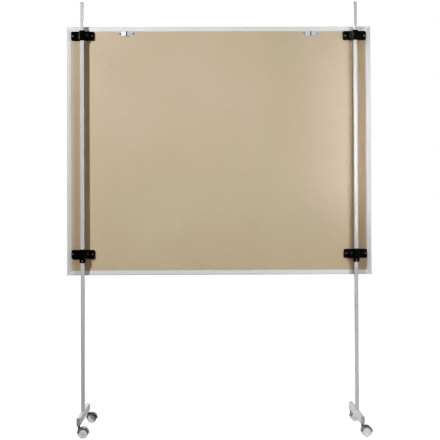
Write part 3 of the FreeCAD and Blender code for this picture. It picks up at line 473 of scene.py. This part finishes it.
plain_steel, tree, shader, place = finish("plain_steel", Metallic=1.0)
turned = grain(tree, drawn(tree, place, TURNED_STRETCH), detail=3)
mottle = grain(tree, place, STEEL_MOTTLE, detail=4, roughness=0.6)
colour = times(tree, mottled(tree, mottle, STEEL_GREY, STEEL_DARK), spread(tree, turned, *TURNED_SHADES))
surface(tree, shader, colour, spread(tree, turned, *STEEL_ROUGHNESS))
relief(tree, shader, turned, STEEL_RELIEF)
dress(plain_steel, "post_plugs", "post_bolts")


# Caps of posts and feet
# Push-in caps of moulded plastic, mid grey in both ends of the feet and paler in the tops of the posts.
# Their faces have a fine spark texture, a little paler where it is rubbed.
CAP_GREY = (0.374, 0.398, 0.415, 1)
CAP_RUBBED = (0.419, 0.441, 0.457, 1)
POST_CAP_GREY = (0.420, 0.435, 0.440, 1)
POST_CAP_RUBBED = (0.470, 0.482, 0.486, 1)
CAP_ROUGHNESS = (0.40, 0.60)
CAP_TEXTURE = 0.00005
PLASTIC_SHINE = 0.4
SPARK = 1300
SPARK_SHADES = (0.93, 1.07)
RUBBED_SPOTS = 70
RUBBED_EDGES = (0.45, 0.8)
ENDS = ("back", "front")


def moulded(name, colour, rubbed, roughness, texture, shine=PLASTIC_SHINE):
    """Moulded plastic with a fine spark texture, texture in metres deep."""
    plastic, tree, shader, place = finish(name, Specular_IOR_Level=shine)
    spark = grain(tree, place, SPARK, detail=3, roughness=0.6)
    wear = grain(tree, place, RUBBED_SPOTS, detail=4, roughness=0.6)
    tint = mottled(tree, wear, colour, rubbed, *RUBBED_EDGES)
    tint = times(tree, tint, spread(tree, spark, *SPARK_SHADES))
    surface(tree, shader, tint, spread(tree, spark, *roughness))
    relief(tree, shader, spark, texture)
    return plastic


cap_plastic = moulded("grey_cap_plastic", CAP_GREY, CAP_RUBBED, CAP_ROUGHNESS, CAP_TEXTURE)
pale_plastic = moulded("pale_grey_cap_plastic", POST_CAP_GREY, POST_CAP_RUBBED, CAP_ROUGHNESS, CAP_TEXTURE)
dress(pale_plastic, *(side + "_post_cap" for side in SIDES))
dress(cap_plastic, *(f"{end}_{side}_foot_cap" for end in ENDS for side in SIDES))


# Clamps and knobs
# Four moulded brackets of glossy black plastic, screwed to the board, with a sleeve round the post.
# Each has a fluted knob of satin black plastic that presses its stud against the post.
CLAMP_BLACK = (0.005, 0.005, 0.005, 1)
CLAMP_RUBBED = (0.010, 0.0095, 0.009, 1)
CLAMP_ROUGHNESS = (0.12, 0.24)
CLAMP_TEXTURE = 0.00002
CLAMP_SHINE = 0.25
KNOB_BLACK = (0.008, 0.008, 0.008, 1)
KNOB_ROUGHNESS = (0.26, 0.36)
KNOB_SHINE = 1.0
HEIGHTS = ("upper", "lower")
CLAMPS = [f"{height}_{side}" for height in HEIGHTS for side in SIDES]

black_plastic = moulded("glossy_black_plastic", CLAMP_BLACK, CLAMP_RUBBED, CLAMP_ROUGHNESS, CLAMP_TEXTURE,
                        CLAMP_SHINE)
dress(black_plastic, *(clamp + "_clamp" for clamp in CLAMPS))
knob_plastic = moulded("satin_black_plastic", KNOB_BLACK, CLAMP_RUBBED, KNOB_ROUGHNESS, CLAMP_TEXTURE,
                       KNOB_SHINE)
dress(knob_plastic, *(clamp + "_knob" for clamp in CLAMPS))


# Threads of the clamps
# A turned brass insert is moulded into each clamp, and the knob's steel stud runs in it.
# Only thin rings of them show between knob and boss.
BRASS_YELLOW = (0.62, 0.43, 0.16, 1)
BRASS_DULL = (0.48, 0.33, 0.13, 1)
BRASS_STRETCH = (2600, 300, 300)
BRASS_ROUGHNESS = (0.24, 0.40)
BRASS_RELIEF = 0.00004

brass, tree, shader, place = finish("turned_brass", Metallic=1.0)
rings = grain(tree, drawn(tree, place, BRASS_STRETCH), detail=3)
colour = mottled(tree, rings, BRASS_YELLOW, BRASS_DULL)
surface(tree, shader, colour, spread(tree, rings, *BRASS_ROUGHNESS))
relief(tree, shader, rings, BRASS_RELIEF)
dress(brass, "clamp_inserts")
dress(plain_steel, *(clamp + "_knob_stud" for clamp in CLAMPS))


# Stop collars
# Square rings of the same black plastic on the posts under the lower clamps, so that the board can't drop.
# A dull zinc plated socket screw in the back of each holds it.
dress(black_plastic, *(side + "_stop_collar" for side in SIDES))
dress(dull_zinc, *(side + "_collar_screw" for side in SIDES))


# Castors
# Twin-wheel castors: a mid grey moulded hood with a lip over each wheel turns on a steel stem.
# Its steel axle carries two light grey moulded wheels, with faint rings on the face and a scuffed tread.
HOOD_GREY = (0.255, 0.264, 0.268, 1)
HOOD_RUBBED = (0.300, 0.309, 0.313, 1)
HOOD_ROUGHNESS = (0.30, 0.48)
WHEEL_GREY = (0.738, 0.757, 0.760, 1)
WHEEL_PALE = (0.798, 0.812, 0.815, 1)
WHEEL_CLOUDS = 60
WHEEL_PATCHES = 240
WHEEL_ROUGHNESS = (0.38, 0.56)
SCUFF_SHADES = (0.72, 0.97)
TREAD_START = 0.0225
TREAD_END = 0.0243
RING_PITCH = 0.0009
RING_RELIEF = 0.00002
ACROSS_AXLE = (1, 0, 1)
CASTORS = [f"{end}_{side}" for end in ENDS for side in SIDES]

hood_plastic = moulded("grey_hood_plastic", HOOD_GREY, HOOD_RUBBED, HOOD_ROUGHNESS, CAP_TEXTURE)
for castor in CASTORS:
    dress(hood_plastic, castor + "_castor_hood")
    dress(plain_steel, castor + "_castor_axle")
    low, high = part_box(castor + "_outer_wheel")
    axle = (low + high) / 2
    wheel_plastic, tree, shader, place = finish(castor + "_wheel_plastic", Specular_IOR_Level=PLASTIC_SHINE)
    spoke = add(tree, "ShaderNodeVectorMath", {0: place, 1: axle}, operation="SUBTRACT").outputs[0]
    spoke = add(tree, "ShaderNodeVectorMath", {0: spoke, 1: ACROSS_AXLE}, operation="MULTIPLY").outputs[0]
    radius = add(tree, "ShaderNodeVectorMath", {0: spoke}, operation="LENGTH").outputs["Value"]
    turns = sums(tree, "MULTIPLY", radius, 2 * math.pi / RING_PITCH)
    ring = add(tree, "ShaderNodeMath", {0: turns}, operation="SINE").outputs[0]
    patches = grain(tree, place, WHEEL_PATCHES, detail=4, roughness=0.65)
    colour = mottled(tree, grain(tree, place, WHEEL_CLOUDS, detail=3), WHEEL_GREY, WHEEL_PALE)
    scuffed = times(tree, colour, spread(tree, patches, *SCUFF_SHADES))
    tread = spread(tree, radius, 0, 1, TREAD_START, TREAD_END)
    colour = between(tree, tread, colour, scuffed)
    surface(tree, shader, colour, spread(tree, patches, *WHEEL_ROUGHNESS))
    relief(tree, shader, ring, RING_RELIEF)
    dress(wheel_plastic, castor + "_outer_wheel", castor + "_inner_wheel")
dress(plain_steel, "castor_stems")


# Brake pedals
# The two front castors have a brake lever between the wheels, moulded in mid grey and pressed down by foot.
# It hinges on a pin in the ears of the hood.
PEDAL_ROUGHNESS = (0.36, 0.54)

pedal_plastic = moulded("grey_pedal_plastic", CAP_GREY, CAP_RUBBED, PEDAL_ROUGHNESS, CAP_TEXTURE)
dress(pedal_plastic, *(f"front_{side}_brake_pedal" for side in SIDES))


# Floor
# A plain pale floor without an edge in view, so strongly lit that it burns out to white, as a sweep does.
# Only a trace of shadow is left under the castors.
FLOOR_HALF = 40.0
FLOOR_GREY = (0.14, 0.14, 0.14, 1)
FLOOR_ROUGHNESS = 0.9
FLOOR_GLOW = 0.93
FLOOR_FAR_GLOW = 1.0
FLOOR_NEAR = 0.9
FLOOR_FAR = 2.4
WHITE = (1, 1, 1, 1)

floor_mesh = bpy.data.meshes.new("floor")
floor_corners = [(x * FLOOR_HALF, y * FLOOR_HALF, 0) for x, y in ((-1, -1), (1, -1), (1, 1), (-1, 1))]
floor_mesh.from_pydata(floor_corners, [], [(0, 1, 2, 3)])
floor = bpy.data.objects.new("floor", floor_mesh)
bpy.context.scene.collection.objects.link(floor)
sweep, tree, shader, place = finish("studio_sweep", Base_Color=FLOOR_GREY, Roughness=FLOOR_ROUGHNESS,
                                    Specular_IOR_Level=0.0, Emission_Color=WHITE)
ray = tree.nodes.new("ShaderNodeLightPath").outputs
away = add(tree, "ShaderNodeVectorMath", {0: place}, operation="LENGTH").outputs["Value"]
glow = spread(tree, away, FLOOR_GLOW, FLOOR_FAR_GLOW, FLOOR_NEAR, FLOOR_FAR)
tree.links.new(sums(tree, "MULTIPLY", ray["Is Camera Ray"], glow), shader.inputs["Emission Strength"])
floor_mesh.materials.append(sweep)


# Studio light
# A lamp at the left and a softbox at the right light the back, a strip the right post, low lamps the feet.
# A wide softbox lights the front. The surroundings are white to the camera and give only a dim fill.
FILL = 0.06
FILL_TINT = (0.98, 0.97, 0.93, 1)
MIRRORED = 0.30
# Name, place, aim, width, height, watts, spread in degrees, whether it shows in reflections
LAMPS = (
    ("left_lamp", (-2.70, -2.60, 2.70), (2.50, -0.80, 1.75), 0.45, 0.45, 132, 180, True),
    ("right_softbox", (1.75, -1.95, 1.45), (-1.60, 0.0, 1.30), 1.20, 1.10, 19.5, 110, True),
    ("post_strip", (0.98, -2.30, 1.50), (0.67, 0.0, 1.50), 0.18, 0.96, 0.26, 16, True),
    ("low_back_lamp", (1.30, -2.05, 0.45), (0.67, -0.05, 0.22), 0.25, 0.25, 0.68, 40, False),
    ("front_softbox", (-1.20, 3.80, 3.00), (0.0, 0.0, 1.10), 2.20, 1.60, 178, 180, True),
    ("low_left_lamp", (-1.90, 1.10, 0.75), (0.67, 0.0, 0.06), 0.50, 0.35, 2.1, 30, True),
    ("low_right_lamp", (1.90, 1.10, 0.75), (-0.67, 0.0, 0.06), 0.50, 0.35, 1.5, 30, True),
)

for name, stand, target, width, height, power, cone, mirrored in LAMPS:
    lamp = bpy.data.lights.new(name, "AREA")
    lamp.shape = "RECTANGLE"
    lamp.size = width
    lamp.size_y = height
    lamp.energy = power
    lamp.spread = math.radians(cone)
    light = bpy.data.objects.new(name, lamp)
    light.location = stand
    light.rotation_euler = (Vector(target) - Vector(stand)).to_track_quat("-Z", "Y").to_euler()
    light.visible_camera = False
    light.visible_glossy = mirrored
    bpy.context.scene.collection.objects.link(light)

studio = bpy.data.worlds.new("studio")
studio.use_nodes = True
bpy.context.scene.world = studio
tree = studio.node_tree
background = tree.nodes["Background"].inputs
ray = tree.nodes.new("ShaderNodeLightPath").outputs
strength = sums(tree, "ADD", sums(tree, "MULTIPLY", ray["Is Glossy Ray"], MIRRORED - FILL), FILL)
strength = sums(tree, "MAXIMUM", strength, ray["Is Camera Ray"])
tree.links.new(strength, background["Strength"])
tree.links.new(between(tree, ray["Is Camera Ray"], FILL_TINT, WHITE), background["Color"])


# Camera
# About 1 m above the floor and 6 m behind the board, with a long lens, looking up slightly.
# It has a trace of roll, and a tone curve deepens the darks and lifts the lights.
CAMERA_PLACE = (-0.0720, -6.0688, 1.0294)
CAMERA_LENS = 100.71
CAMERA_SENSOR = 36.0
CAMERA_RIGHT = 0.710
CAMERA_UP = 0.720
CAMERA_ROLL = -0.224
CAMERA_SHIFT_UP = -0.036
TONES = ((0.0097, 0.0012), (0.144, 0.065), (0.25, 0.175), (0.344, 0.305), (0.44, 0.428),
         (0.52, 0.517), (0.63, 0.650), (0.73, 0.775), (0.87, 0.915))

lens = bpy.data.cameras.new("camera")
lens.lens = CAMERA_LENS
lens.sensor_width = CAMERA_SENSOR
lens.sensor_fit = "HORIZONTAL"
lens.shift_y = CAMERA_SHIFT_UP
camera = bpy.data.objects.new("camera", lens)
turn = Matrix.Rotation(math.radians(-CAMERA_RIGHT), 4, "Z")
tilt = Matrix.Rotation(math.radians(90 + CAMERA_UP), 4, "X")
roll = Matrix.Rotation(math.radians(CAMERA_ROLL), 4, "Z")
camera.matrix_world = Matrix.Translation(CAMERA_PLACE) @ turn @ tilt @ roll
bpy.context.scene.collection.objects.link(camera)
bpy.context.scene.camera = camera
colours = bpy.context.scene.view_settings
colours.view_transform = "Standard"
colours.use_curve_mapping = True
contrast = colours.curve_mapping.curves[3]
for dim, bright in TONES:
    contrast.points.new(dim, bright)
colours.curve_mapping.update()
